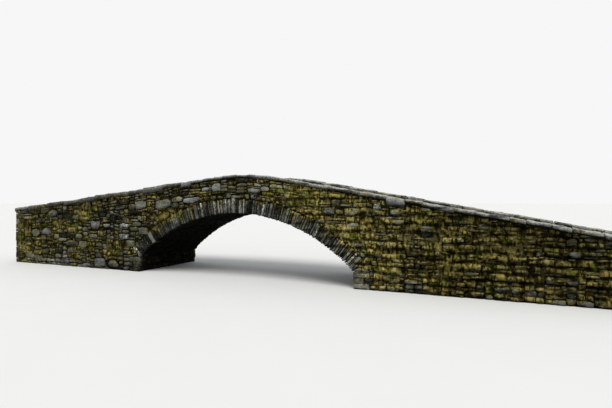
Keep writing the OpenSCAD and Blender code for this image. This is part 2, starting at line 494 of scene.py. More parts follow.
def addMortar(face, free):
    # A rough bed between the stones, deep in some joints and nearly flush where moss has filled them; painted
    # shade makes it dark, darkest in the deep joints
    cell, origin = np.array(face["cell"]), np.array([face["u"][0], face["v"][0]])
    rows, columns = free.shape
    nodeI, nodeJ = np.meshgrid(np.arange(0, columns + 1, 2), np.arange(0, rows + 1, 2))
    flat = face["bend"](np.column_stack([nodeI.ravel(), nodeJ.ravel()]) * cell + origin)
    moss = mossAt(face["place"](np.column_stack([flat, np.zeros(len(flat))])))
    spot = np.column_stack([flat, np.full(len(flat), 2.0 * face["seed"])])
    filled = np.clip((moss - 0.4) / 0.5, 0, 1)
    depth = mortarLook["deep"] + mortarLook["filling"] * filled
    depth = depth + mortarLook["rough"] * layeredNoise(spot, 0.2, 17)
    points = face["place"](np.column_stack([flat, np.minimum(depth, mortarLook["highest"])]))
    daylitShare = np.maximum(0.2 + 0.25 * filled, bridgedAt(points) * face.get("moss", 1))
    blank = np.zeros(len(points))
    looks = np.column_stack([blank, blank, (moss + 0.05) * face.get("moss", 1), daylitShare * daylightAt(points)])
    across = nodeI.shape[1]
    byNode = {}
    for b in range(nodeI.shape[0] - 1):
        for a in range(1, across - 2):
            if free[2 * b:2 * b + 2, 2 * a:2 * a + 2].min() < 1:
                continue
            k = b * across + a
            centre = flat[[k, k + across + 1]].mean(axis=0)
            quads = byNode.setdefault(face["node"](*centre), [])
            quads += [(k, k + 1, k + across + 1), (k, k + across + 1, k + across)]
    for node, quads in byNode.items():
        used, renumbered = np.unique(np.array(quads).ravel(), return_inverse=True)
        addToHeap(node, points[used], renumbered.reshape(-1, 3), looks[used])


# Squared blocks
blockLattices = {}


def blockLattice(divisions):
    # Surface points and outward triangles of a box cut into a lattice
    if divisions not in blockLattices:
        index, points, triangles = {}, [], []

        def at(spot):
            if spot not in index:
                index[spot] = len(points)
                points.append(spot)
            return index[spot]

        for axis in range(3):
            a, b = (axis + 1) % 3, (axis + 2) % 3
            for end in (0, divisions[axis]):
                for p in range(divisions[a]):
                    for q in range(divisions[b]):
                        ring = []
                        for da, db in ((0, 0), (1, 0), (1, 1), (0, 1)):
                            spot = [0, 0, 0]
                            spot[axis], spot[a], spot[b] = end, p + da, q + db
                            ring.append(at(tuple(spot)))
                        if end == 0:
                            ring.reverse()
                        triangles += [(ring[0], ring[1], ring[2]), (ring[0], ring[2], ring[3])]
        blockLattices[divisions] = (np.array(points), np.array(triangles))
    return blockLattices[divisions]


def blockStone(corners, divisions, bevel, rough, seed):
    # corners[i, j, k] are the eight corners of the block before its edges wear round
    lattice, triangles = blockLattice(divisions)
    axes = [corners[1].mean(axis=(0, 1)) - corners[0].mean(axis=(0, 1)),
            corners[:, 1].mean(axis=(0, 1)) - corners[:, 0].mean(axis=(0, 1)),
            corners[:, :, 1].mean(axis=(0, 1)) - corners[:, :, 0].mean(axis=(0, 1))]
    ends = sum((lattice[:, axis] == 0) | (lattice[:, axis] == divisions[axis]) for axis in range(3))
    shares = []
    for axis in range(3):
        length = np.linalg.norm(axes[axis])
        edge = min(bevel / length, 0.3)
        steps = np.concatenate([[0], np.linspace(edge, 1 - edge, divisions[axis] - 1), [1]])
        share = steps[lattice[:, axis]]
        worn = np.where(ends == 2, 0.32, 0) + np.where(ends == 3, 0.5, 0)
        share = np.where(share == 0, worn * edge, np.where(share == 1, 1 - worn * edge, share))
        shares.append(share)
    points = np.zeros((len(lattice), 3))
    for corner in np.ndindex(2, 2, 2):
        weight = np.ones(len(lattice))
        for axis in range(3):
            weight *= shares[axis] if corner[axis] else 1 - shares[axis]
        points += weight[:, None] * corners[corner]
    spot = points + seed * 1.37
    points = points + rough * noiseOffsets(spot, 0.22, 61) + 0.45 * rough * noiseOffsets(spot, 0.07, 81)
    if np.dot(np.cross(axes[0], axes[1]), axes[2]) < 0:
        triangles = triangles[:, ::-1]
    return points, triangles, shares


def addBlock(name, corners, divisions, bevel, rough, tone, pale, mossy, lookBy=None):
    # lookBy spreads paleness, moss and daylight over the block, from its own three directions
    points, triangles, shares = blockStone(corners, divisions, bevel, rough, rng.integers(1000))
    count = len(points)
    paleBy, mossBy, lightBy = lookBy(shares) if lookBy else (1, 0, 1)
    looks = np.column_stack([np.full(count, tone), pale * paleBy * np.ones(count),
                             mossAt(points) + mossy + mossBy, 0.95 * lightBy * daylightAt(points)])
    addToHeap(name, points, triangles, looks)


# Squared corner stones, which go through the whole thickness of the wall, short and long in turn
quoinLook = {"high": (0.16, 0.2, 0.28), "wide": (0.35, 0.55), "proud": (0, 0.02), "bevel": 0.016,
             "rough": 0.009}


def addQuoin(name, outline, face, tone, pale):
    low, high = outline.min(axis=0), outline.max(axis=0)
    proud = rng.uniform(*quoinLook["proud"])
    corners = np.zeros((2, 2, 2, 3))
    for i, j, k in np.ndindex(2, 2, 2):
        spot = [(low, high)[i][0], (low, high)[j][1], (-face["quoinDepth"], proud)[k]]
        corners[i, j, k] = face["place"](np.array([spot]))[0]
    addBlock(name, corners, (5, 4, 4), quoinLook["bevel"], quoinLook["rough"], tone * 0.7, pale * 0.5,
             rng.normal(0, 0.15))


# Which CAD node a spot on a wall belongs to
def lengthAt(x):
    return "left" if x < crestLeft else "crown" if x < crestRight else "right"


def wallNode(side, x, z):
    if z > roadZ(x):
        return f"parapet_{side}_{lengthAt(x)}"
    end = "left" if x < crestX else "right"
    if x < abutmentLeft or x > abutmentRight:
        return f"wing_wall_{side}_{end}"
    angle = math.atan2(abs(x - archX), z - archZ)
    if z < abutmentTop and angle > halfAngle:
        return f"abutment_{end}"
    return f"spandrel_{side}_{end}"


# Stone sizes in metres, by what the wall looks like there
mixedRubble = {"wide": (0.24, 0.7), "high": (0.12, 0.34), "big": (0.4, 0.75), "bigChance": 0.45}
thinSlabs = {"wide": (0.25, 0.8), "high": (0.06, 0.16), "big": (0.3, 0.5), "bigChance": 0.3}
coursedRubble = {"wide": (0.2, 0.7), "high": (0.1, 0.26), "big": (0.3, 0.55), "bigChance": 0.15,
                 "course": 0.28}
footRubble = {"wide": (0.25, 0.6), "high": (0.12, 0.26), "big": (0.4, 0.7), "bigChance": 0.3}


def wallSizes(x, z):
    # The mixed rubble gives way to rough courses along a wavering line
    if z < springZ:
        return footRubble
    if x < 1.0 + 0.8 * math.sin(3 * z):
        return mixedRubble
    return coursedRubble


# Single stones that stand out on the front: left end, foot, width, height and shade
frontFeatures = [
    (-5.65, 2.68, 0.65, 0.36, "pale"), (-4.55, 2.69, 0.9, 0.42, "grey"), (-3.1, 2.92, 0.85, 0.26, "pale"),
    (-6.6, 2.84, 0.65, 0.24, "dark"), (-10.05, 2.12, 0.65, 0.44, "dark"), (-8.25, 1.72, 0.55, 0.44, "grey"),
    (-11.0, 2.24, 0.6, 0.36, "grey"), (-7.5, 1.8, 0.45, 0.2, "white"), (-6.5, 1.88, 0.55, 0.2, "white"),
    (-6.5, 1.36, 0.55, 0.24, "white"), (-7.1, 2.04, 0.4, 0.32, "dark"), (-5.45, 2.16, 0.45, 0.24, "pale"),
    (-4.85, 2.24, 0.4, 0.2, "pale"), (-10.3, 1.28, 1.1, 0.2, "dark"), (1.4, 2.98, 0.5, 0.26, "dark"),
    (-1.71, 3.37, 0.45, 0.36, "pale"), (-1.42, 3.14, 0.26, 0.22, "pale"), (-0.04, 3.34, 0.56, 0.14, "pale"),
    (-0.04, 3.48, 0.5, 0.12, "pale"), (0.57, 3.38, 0.36, 0.2, "pale"), (-2.21, 3.42, 0.42, 0.2, "pale"),
    (2.4, 3.36, 0.56, 0.26, "dark"), (-7.8, 2.3, 0.5, 0.26, "dark"), (-3.4, 3.24, 0.6, 0.14, "dark"),
    (6.4, 2.1, 0.5, 0.16, "grey"), (6.4, 1.84, 0.5, 0.2, "dark"), (6.45, 2.64, 0.35, 0.2, "grey"),
    (4.85, 2.72, 0.3, 0.24, "white"), (3.9, 2.12, 0.55, 0.16, "grey"), (4.1, 1.44, 0.45, 0.2, "grey"),
    (7.55, 1.72, 0.25, 0.16, "white"), (7.6, 2.28, 0.3, 0.16, "grey"), (8.2, 2.16, 0.35, 0.2, "grey"),
    (7.75, 2.48, 0.45, 0.16, "grey"),
]

# Near the crest the upper courses follow the road, down to a ragged line near its level
stripLook = {"from": -7.2, "to": 2.6, "deep": 0.56, "ragged": 0.1, "step": 0.55,
             "deeperFrom": -6, "deeperTo": -1.9, "deeper": 0.34}
stripTop = 0.96  # the coping's underside, in the strip's own measure


def stripHeight(x):
    look = stripLook
    x = np.asarray(x)
    steps = np.floor(x / look["step"])
    cells = np.stack([steps, steps * 0, steps * 0], axis=-1).reshape(-1, 3)
    depth = look["deep"] + look["ragged"] * (hashCells(cells, 3).reshape(steps.shape) - 0.5)
    depth = depth + np.where((x > look["deeperFrom"]) & (x < look["deeperTo"]), look["deeper"], 0)
    return np.where((x > look["from"]) & (x < look["to"]), depth, 0)


def outsideArch(x, z):
    # 1 outside the ring's back, 0 in its upper part and -1 inside
    angle = np.arctan2(np.abs(x - archX), z - archZ)
    radius = np.hypot(x - archX, z - archZ)
    beside = (angle >= halfAngle) & (np.abs(x - archX) >= halfSpan)
    above = (angle < halfAngle) & (radius >= backR)
    nearly = (radius > backR - 0.3) & (angle < halfAngle + 0.02) & (z > springZ)
    return np.where(beside | above, 1, np.where(nearly, 0, -1))


def trimToArch(outline):
    centre = outline.mean(axis=0) - [archX, archZ]
    angle = math.atan2(abs(centre[0]), centre[1])
    radius = np.hypot(*centre)
    sign = math.copysign(1, centre[0])
    if angle < halfAngle:
        if radius < backR + 0.6:
            away = centre / radius
            outline = clipOutline(outline, np.array([archX, archZ]) + away * (backR - 0.03), away)
    elif outline[:, 1].min() < abutmentTop and radius < backR + 0.6:
        spring = np.array([archX + sign * halfSpan, springZ])
        outline = clipOutline(outline, spring, np.array([sign * math.cos(halfAngle), -math.sin(halfAngle)]))
        if len(outline) > 3:
            outline = clipOutline(outline, spring, np.array([sign, 0.0]))
    return outline


def trimToCoping(outline):
    x = outline[:, 0].mean()
    slope = np.array([1.0, (underZ(x + 0.3) - underZ(x - 0.3)) / 0.6])
    down = np.array([slope[1], -1.0]) / np.linalg.norm(slope)
    return clipOutline(outline, np.array([x, underZ(x) - 0.006]), down)


def endQuoins(u0, u1, top):
    # Stacks of corner stones at both ends of a wall
    stones = []
    for start, inward in ((u0, 1), (u1, -1)):
        z, k = 0.0, 0
        while z < top(start):
            high, wide = rng.choice(quoinLook["high"]), quoinLook["wide"][k % 2]
            stones.append((start if inward > 0 else start - wide, z, wide, high, "quoin"))
            z += high
            k += 1
    return stones


def cornerQuoins(x, inward):
    # Three more beside the archway, up to the springing
    stones = []
    for z, wide in ((0.0, 0.6), (0.2, 0.4), (0.4, 0.6)):
        stones.append((x if inward > 0 else x - wide, z, wide, 0.2, "quoin"))
    return stones


def asLaid(outline):
    return outline


def onPlane(start, along, out):
    # Stands local points (along, up, out) on an upright plane
    axes = np.array([along, (0, 0, 1), out], float)
    return lambda points: np.array(start) + points @ axes


faceLook = {"joint": (0.005, 0.045), "proud": (-0.022, 0.024), "bulge": (0.006, 0.034), "tilt": 0.08,
            "depth": 0.1, "corners": (0.2, 0.95), "sunk": 0.35, "quoinDepth": wallThick - 0.03,
            "cell": (0.05, 0.04), "bend": asLaid, "trim": asLaid}


def outerWall(side):
    facing = 1 if side == "front" else -1  # the back face is laid out seen from behind

    def lowerFree(u, v):
        x = facing * u
        top = underZ(x) - stripHeight(x)
        atCoping = (stripHeight(x) == 0) & (v < top + 0.1)
        found = np.where(v < top - 0.03, outsideArch(x, v), np.where(atCoping, 0, -1))
        return np.where(besideBlock(x, underZ(x) - v), found, -1)

    def stripFree(u, v, lower=0):
        x = facing * u
        inStrip = (v > stripTop - stripHeight(x) - lower) & (stripHeight(x) > 0)
        return np.where(inStrip, outsideArch(x, underZ(x) - stripTop + v), -1)

    def trim(outline):
        # The arch and the coping are as seen from the front, so the back's outlines turn over for it
        outline = trimToArch(outline if side == "front" else outline[::-1] * [-1, 1])
        if len(outline) >= 4:
            outline = trimToCoping(outline)
        return outline if side == "front" or not len(outline) else outline[::-1] * [-1, 1]

    ends = sorted((facing * leftX, facing * rightX))
    features, stripFeatures = [], []
    for x, z, wide, high, kind in frontFeatures if side == "front" else ():
        below = underZ(x + wide / 2) - z
        if below - high / 2 < stripHeight(x + wide / 2):
            stripFeatures.append((x, stripTop - below, wide, high, kind))
        else:
            features.append((x, z, wide, high, kind))
    quoins = endQuoins(*ends, lambda u: underZ(facing * u) - 0.1)
    quoins += cornerQuoins(facing * springLeft, -facing) + cornerQuoins(facing * springRight, facing)
    wall = dict(faceLook, u=ends, trim=trim, node=lambda s, t: wallNode(side, facing * s, t),
                place=onPlane((0, -facing * faceY, 0), (facing, 0, 0), (0, -facing, 0)))
    lower = dict(wall, v=(0, 3.6), seed=1 if side == "front" else 2, free=lowerFree,
                 sizes=lambda u, v: wallSizes(facing * u, v), reserved=quoins + features)
    strip = dict(wall, v=(0, stripTop), seed=3 if side == "front" else 4, wave=0.6,
                 free=stripFree, behind=lambda u, v: stripFree(u, v, 0.15),
                 sizes=lambda u, v: thinSlabs if v > 0.35 else mixedRubble, reserved=stripFeatures,
                 bend=lambda shape: shape + np.outer(underZ(facing * shape[:, 0]) - stripTop, (0, 1)))
    return layRubble(lower) + layRubble(strip)


def innerParapet(side):
    facing = -1 if side == "front" else 1
    inner = dict(faceLook, u=sorted((facing * (leftX + 0.42), facing * (rightX - 0.42))), v=(0, 0.6),
                 cell=(0.06, 0.04), seed=5 if side == "front" else 6, wave=0.6, moss=0.7,
                 free=lambda u, v: np.where(besideBlock(facing * u, 0.6 - v), 1, -1),
                 sizes=lambda u, v: thinSlabs if abs(u) < 4 else mixedRubble,
                 bend=lambda shape: shape + np.outer(roadZ(facing * shape[:, 0]) - 0.03, (0, 1)),
                 node=lambda s, t: f"parapet_{side}_{lengthAt(facing * s)}",
                 place=onPlane((0, facing * innerY, 0), (facing, 0, 0), (0, -facing, 0)))
    return layRubble(inner)


def crossWall(node, x, sign, reach, high, sizes, **own):
    # A face that looks along the road: an end wall, or an abutment's side of the archway
    face = dict(faceLook, u=(-reach, reach), v=(0, high), free=lambda u, v: np.ones(u.shape, int),
                sizes=lambda u, v: sizes, node=lambda s, t: node,
                place=onPlane((x, 0, 0), (0, sign, 0), (sign, 0, 0)), **own)
    return layRubble(face)


for side in ("front", "back"):
    print(side, "wall stones:", outerWall(side), "and", innerParapet(side), "inside the parapet")
for end, endX, springX, sign in (("left", leftX, springLeft, -1), ("right", rightX, springRight, 1)):
    high = math.floor(round(float(roadZ(endX)) - 0.01, 2) / 0.04) * 0.04
    endStones = crossWall("end_wall_" + end, endX, sign, innerY, high, mixedRubble, seed=9)
    archwayStones = crossWall("abutment_" + end, springX, -sign, faceY - wallThick, springZ, footRubble,
                              seed=7, pale=0.2, moss=0.5)
    print(end, "end stones:", endStones, "and", archwayStones, "in the archway")


# The arch: courses of slabs on edge that run right through the vault, thicker at its left foot.
# White streaks hang from the crest over some of the face slabs, and both feet are barer than the crown
ringLook = {
    "thick": (0.055, 0.13), "footThick": (0.12, 0.22), "footFrom": -0.72 * halfAngle, "long": (0.26, 0.44),
    "proud": 0.026, "back": (0.51, 0.6), "joint": (0.01, 0.042), "rough": 0.008, "bevel": 0.015,
    "undersides": (-0.014, 0.02), "heads": (-0.03, 0), "edges": 0.004, "faces": 0.006,
    "paleAt": -0.637, "streaked": (-0.14, 0.06), "streakPale": (1.15, 1.45),
    "tones": ((-0.2, 0.9), (0.1, 1), (0.3, 1.2)),
    "mossy": ((-0.58, -0.3), (-0.5, 0), (0.2, 0), (0.45, -0.25), (0.7, -0.4)),
}


def archCourses():
    edges = [-halfAngle]
    while edges[-1] < halfAngle:
        wide = rng.uniform(*ringLook["footThick" if edges[-1] < ringLook["footFrom"] else "thick"])
        edges.append(edges[-1] + wide / soffitR)
    edges = np.array(edges)
    return -halfAngle + (edges - edges[0]) * 2 * halfAngle / (edges[-1] - edges[0])


def archLength(angle):
    return "left" if angle < -crownAngle else "crown" if angle < crownAngle else "right"


def archPoint(angle, radius, y):
    return np.array([archX + radius * math.sin(angle), y, archZ + radius * math.cos(angle)])


def voussoirLook(shares):
    # Moss hangs over the heads, and the undersides get painted shade a hand's breadth in from the face
    hanging = 0.6 * shares[1] ** 2 - 0.4
    return np.minimum(0.5 + shares[1], 1), hanging, np.interp(shares[2], [0, 0.05, 0.12], [1, 0.5, 0.08])


def addVoussoir(side, a0, a1, length):
    look = ringLook
    sign = -1 if side == "front" else 1
    middle = (a0 + a1) / 2
    back = soffitR + rng.uniform(*look["back"])
    out = faceY + rng.uniform(-1, 1) * look["proud"]
    gap = rng.uniform(*look["joint"]) / 2
    corners = np.zeros((2, 2, 2, 3))
    for i, j, k in np.ndindex(2, 2, 2):
        radius = (soffitR + rng.uniform(*look["undersides"]), back + rng.uniform(*look["heads"]))[j]
        angle = (a0 + gap / radius, a1 - gap / radius)[i] + rng.normal(0, look["edges"]) / radius
        depth = (out + rng.normal(0, look["faces"]), faceY - length)[k]
        corners[i, j, k] = archPoint(angle, radius, sign * depth)
    tone = (1.3 * rng.random() ** 1.6 - 0.15) * readOff(look["tones"], middle)
    pale = rng.random() ** 4 * 0.5
    # The slabs of the left foot are darker, partly as painted shade, and barer of lichen
    if middle < look["footFrom"]:
        tone, pale = rng.uniform(-0.3, 0.2), rng.uniform(0, 0.1)
    if side == "front" and abs(middle - look["paleAt"]) < (a1 - a0) / 2:
        tone, pale = 1, 1
    low, high = look["streaked"]
    if rng.random() < (0.8 if low < middle < high else 0.06):
        pale = rng.uniform(*look["streakPale"])
    mossy = rng.normal(readOff(look["mossy"], middle), 0.15)
    addBlock(f"arch_ring_{side}_{archLength(middle)}", corners, (3, 8, 5), look["bevel"], look["rough"],
             tone, pale, mossy, voussoirLook)


def soffitPlace(points):
    angle = points[:, 0] / soffitR
    radius = soffitR - points[:, 2]
    return np.column_stack([archX + radius * np.sin(angle), -points[:, 1], archZ + radius * np.cos(angle)])


soffitLook = {"joint": (0.006, 0.012), "proud": (-0.015, 0.015), "bulge": (0.002, 0.012), "tilt": 0.03,
              "depth": 0.08, "long": (0.3, 0.85), "cut": 0.02, "moss": 0.3}


def addSoffitCourse(a0, a1, yFront, yBack):
    name = "vault_" + archLength((a0 + a1) / 2)
    s0, s1 = a0 * soffitR, a1 * soffitR
    cut = min(soffitLook["cut"], 0.3 * (s1 - s0))
    y, laid = yFront, 0
    while y < yBack - 0.02:
        reach = min(y + rng.uniform(*soffitLook["long"]), yBack)
        if yBack - reach < 0.2:
            reach = yBack
        t0, t1 = -reach, -y
        middle = (t0 + t1) / 2
        outline = np.array([[s0 + cut, t0], [s1 - cut, t0], [s1, t0 + cut], [s1, middle], [s1, t1 - cut],
                            [s1 - cut, t1], [s0 + cut, t1], [s0, t1 - cut], [s0, middle], [s0, t0 + cut]])
        outline += rng.normal(0, 0.002, outline.shape)
        outline = shrinkOutline(outline, rng.uniform(*soffitLook["joint"]) / 2)
        points, triangles, paintedDaylight = domeStone(outline, soffitLook)
        points = soffitPlace(points + 0.003 * noiseOffsets(points, 0.1, 91))
        looks = np.column_stack([np.full(len(points), rng.random()), np.zeros(len(points)),
                                 soffitLook["moss"] * mossAt(points), paintedDaylight])
        addToHeap(name, points, triangles, looks)
        y = reach
        laid += 1
    return laid


courses = archCourses()
soffitStones = 0
for a0, a1 in zip(courses[:-1], courses[1:]):
    frontLength, backLength = rng.uniform(*ringLook["long"], 2)
    addVoussoir("front", a0, a1, frontLength)
    addVoussoir("back", a0, a1, backLength)
    soffitStones += addSoffitCourse(a0, a1, -faceY + frontLength, faceY - backLength)
print("arch courses:", len(courses) - 1, "with", soffitStones, "soffit stones")


# Coping: flat slabs, each laid to the slope on its own bed, paler towards their tops, with weathering and a
# painted highlight where the sky lights them.
# Those of the left ramp are thicker and lie less evenly; the squared stone is flush and bare
copingLook = {
    "long": (0.4, 1.05), "thick": (0.085, 0.145), "leftThick": (0.15, 0.24), "leftUntil": -3,
    "outer": (-0.05, 0.012), "blockOuter": (-0.015, 0.012), "inner": (-0.012, 0.05), "lift": (-0.014, 0.012),
    "joint": (0.004, 0.014), "wander": (0.01, 0.012, 0.006), "rough": 0.018, "bevel": 0.02,
    "blockTone": 0.75, "blockPale": 0.6, "paleSpread": 0.6, "evenFrom": 0.4, "evenSpread": 0.25,
    "tones": ((-9, 0.15), (2, 0.55)), "mossy": ((-6, -0.35), (0, -0.3), (1, -0.6)),
    "pale": ((leftX, 1.2), (-12.4, 1.1), (-11.6, 0.45), (-5, 0.5), (-2.5, 0.9), (0.6, 1.2), (2, 1.3),
             (5, 1.2), (8, 1.1), (rightX, 1.0)),
    "edges": ((5, 0.25), (8, 0.45)), "edgeLight": 0.57,
}


def slabLook(middle):
    # The edges of the slabs are grey, palest at the right end; their tops are paler, partly weathering and
    # partly a painted highlight, and painted shade makes them black along their feet
    edge, light = readOff(copingLook["edges"], middle), copingLook["edgeLight"]

    def spread(shares):
        up = shares[2]
        daylitShare = np.minimum(0.3 + 1.6 * up, 1) * (light + (1 - light) * up ** 2)
        return edge + (1 - edge) * up ** 3, -0.1 * up, daylitShare

    return spread


def addSlab(side, x0, x1, thick, tone):
    look = copingLook
    sign = -1 if side == "front" else 1
    middle = (x0 + x1) / 2
    isBlock = blockLow.x < middle < blockHigh.x
    place = "block" if isBlock else "right_end" if middle > blockHigh.x else lengthAt(middle)
    outer = faceY + copingOver + rng.uniform(*look["blockOuter" if isBlock else "outer"])
    inner = innerY - copingOver + rng.uniform(*look["inner"])
    uneven = 2 if middle < look["leftUntil"] else 1
    lift = uneven * rng.uniform(*look["lift"])
    gap = rng.uniform(*look["joint"])
    wanderX, wanderY, wanderZ = look["wander"]
    corners = np.zeros((2, 2, 2, 3))
    for i, j, k in np.ndindex(2, 2, 2):
        x = (x0 + gap, x1 - gap)[i] + rng.normal(0, wanderX)
        y = sign * ((inner, outer)[j] + rng.normal(0, wanderY))
        z = topZ((x0, x1)[i]) + lift - (thick, 0)[k] + uneven * rng.normal(0, wanderZ)
        corners[i, j, k] = (x, y, z)
    spread = look["evenSpread"] if middle > look["evenFrom"] else look["paleSpread"]
    share = look["blockPale"] if isBlock else 1 + rng.uniform(-spread, spread)
    mossy = -1 if isBlock else rng.normal(readOff(look["mossy"], middle), 0.2)
    addBlock(f"coping_{side}_{place}", corners, (9, 7, 4), look["bevel"], look["rough"], tone,
             readOff(look["pale"], middle) * share, mossy, slabLook(middle))


def layCoping(side):
    laid = 1
    for start, stop in ((leftX - copingOver, blockLow.x), (blockHigh.x, rightX + copingOver)):
        x = start
        while x < stop - 0.01:
            reach = x + rng.uniform(*copingLook["long"])
            if stop - reach < copingLook["long"][0]:
                reach = stop
            thick = rng.uniform(*copingLook["thick" if x > copingLook["leftUntil"] else "leftThick"])
            tone = readOff(copingLook["tones"], x) + rng.uniform(-0.2, 0.3)
            addSlab(side, x, reach, thick, tone)
            x = reach
            laid += 1
    addSlab(side, blockLow.x, blockHigh.x, blockHigh.z - blockLow.z - 0.1, copingLook["blockTone"])
    return laid


for side in ("front", "back"):
    print(side, "coping slabs:", layCoping(side))


# Road: worn paving stones bedded in trodden earth
pavingSizes = {"wide": (0.1, 0.24), "high": (0.12, 0.4), "big": (0.24, 0.34), "bigChance": 0.06}
roadLook = {"joint": (0.014, 0.034), "proud": (-0.022, 0.008), "bulge": (0.008, 0.024), "tilt": 0.04,
            "depth": 0.05, "corners": (0.3, 0.8), "camber": 0.02, "cell": (0.05, 0.05),
            "bend": asLaid, "trim": asLaid}


def pavingFree(u, v):
    spots = np.column_stack([u.ravel(), v.ravel(), np.zeros(u.size)])
    return np.where(layeredNoise(spots, 1.1, 15) > -0.75, 1, -1).reshape(u.shape)


def roadPlace(points):
    camber = roadLook["camber"] * (1 - (points[:, 1] / innerY) ** 2)
    return np.column_stack([points[:, 0], points[:, 1], roadZ(points[:, 0]) + camber - 0.012 + points[:, 2]])


paving = dict(roadLook, u=(leftX, rightX), v=(-innerY, innerY), seed=13, free=pavingFree,
              sizes=lambda u, v: pavingSizes, place=roadPlace, node=lambda s, t: "road_" + lengthAt(s),
              pale=0.5, moss=0.5, mortar=False)
print("paving stones:", layRubble(paving))


def roadBed(x0, x1):
    # A sheet of trodden earth under the stones of one length of road
    along = np.linspace(x0, x1, max(2, round((x1 - x0) / 0.09)))
    across = np.linspace(-innerY, innerY, 40)
    gridX, gridY = np.meshgrid(along, across)
    flat = np.column_stack([gridX.ravel(), gridY.ravel(), np.zeros(gridX.size)])
    lift = 0.007 * layeredNoise(flat, 0.25, 33) + 0.010 * layeredNoise(flat, 1.1, 35) - 0.018
    columns = len(along)
    triangles = []
    for j in range(len(across) - 1):
        for i in range(columns - 1):
            a = j * columns + i
            triangles += [(a, a + 1, a + columns + 1), (a, a + columns + 1, a + columns)]
    return roadPlace(np.column_stack([flat[:, :2], lift])), np.array(triangles)


beds = {"road_left": roadBed(leftX, crestLeft), "road_crown": roadBed(crestLeft, crestRight),
        "road_right": roadBed(crestRight, rightX)}


# Hearting: each node's own shape, drawn back behind its stones
heartingLook = {"behind": 0.07, "copingWide": 0.6, "copingBelow": 0.07, "underBed": 0.045}


def drawnBack(node):
    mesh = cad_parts[node].data
    points = np.array([vertex.co for vertex in mesh.vertices])
    mesh.calc_loop_triangles()
    triangles = np.array([tuple(loop.vertices) for loop in mesh.loop_triangles])
    behind = heartingLook["behind"]
    x, y, z = points.T
    outward = np.sign(y)
    y = np.where(np.abs(np.abs(y) - faceY) < 1e-3, outward * (faceY - behind), y)
    if node.startswith("parapet"):
        y = np.where(np.abs(np.abs(y) - innerY) < 1e-3, outward * (innerY + behind), y)
    if node.startswith("coping"):
        middle = (faceY + innerY) / 2
        y = outward * (middle + (np.abs(y) - middle) * heartingLook["copingWide"])
        z = z - np.where(np.abs(z - topZ(x)) < 0.002, heartingLook["copingBelow"], 0)
    x = np.clip(x, leftX + behind, rightX - behind)
    if node.startswith(("vault", "arch_ring")):
        radius = np.hypot(x - archX, z - archZ)
        onSoffit = (np.abs(radius - soffitR) < 2e-3) & (z > springZ - 1e-3)
        grow = np.where(onSoffit, (soffitR + behind) / radius, 1)
        x, z = archX + (x - archX) * grow, archZ + (z - archZ) * grow
    if node.startswith("abutment"):
        inArchway = np.abs(np.abs(x - archX) - halfSpan) < 1e-3
        x = np.where(inArchway, x + np.sign(x - archX) * behind, x)
    if node in beds:
        z = z - heartingLook["underBed"]
    return np.column_stack([x, y, z]), triangles


# Materials: short calls that add one node each, then the stone and the earth
def addNode(tree, kind, inputs=None, **settings):
    made = tree.nodes.new(kind)
    for name, value in settings.items():
        setattr(made, name, value)
    for name, value in (inputs or {}).items():
        if isinstance(value, bpy.types.NodeSocket):
            tree.links.new(value, made.inputs[name])
        else:
            made.inputs[name].default_value = value
    return made


def mathNode(tree, operation, a, b=0.0, clamp=False):
    return addNode(tree, "ShaderNodeMath", {0: a, 1: b}, operation=operation, use_clamp=clamp).outputs[0]


def blendColors(tree, share, a, b, way="MIX"):
    made = addNode(tree, "ShaderNodeMix", {0: share}, data_type="RGBA", blend_type=way)
    for socket, value in ((made.inputs[6], a), (made.inputs[7], b)):
        if isinstance(value, bpy.types.NodeSocket):
            tree.links.new(value, socket)
        else:
            socket.default_value = (*value, 1)
    return made.outputs[2]


def noiseNode(tree, vector, scale, detail=4, roughness=0.55):
    made = addNode(tree, "ShaderNodeTexNoise",
                   {"Vector": vector, "Scale": scale, "Detail": detail, "Roughness": roughness})
    return made.outputs["Fac"]


def stretched(tree, vector, scale):
    return addNode(tree, "ShaderNodeMapping", {"Vector": vector, "Scale": scale}).outputs[0]


def ramp(tree, value, low, high):
    reach = {"Value": value, "From Min": low, "From Max": high}
    return addNode(tree, "ShaderNodeMapRange", reach, clamp=True).outputs[0]


def cellDistance(tree, vector, scale):
    return addNode(tree, "ShaderNodeTexVoronoi", {"Vector": vector, "Scale": scale}).outputs["Distance"]


def weighed(tree, total, *terms):
    # Adds each term, times its weight, to the total
    for socket, weight in terms:
        made = addNode(tree, "ShaderNodeMath", {0: socket, 1: weight, 2: total}, operation="MULTIPLY_ADD")
        total = made.outputs[0]
    return total


def newTree(name):
    material = bpy.data.materials.new(name)
    material.use_nodes = True
    tree = material.node_tree
    tree.nodes.clear()
    surface = addNode(tree, "ShaderNodeBsdfPrincipled")
    addNode(tree, "ShaderNodeOutputMaterial", {"Surface": surface.outputs[0]})
    return material, tree, surface


def times(tree, a, b):
    return mathNode(tree, "MULTIPLY", a, b)


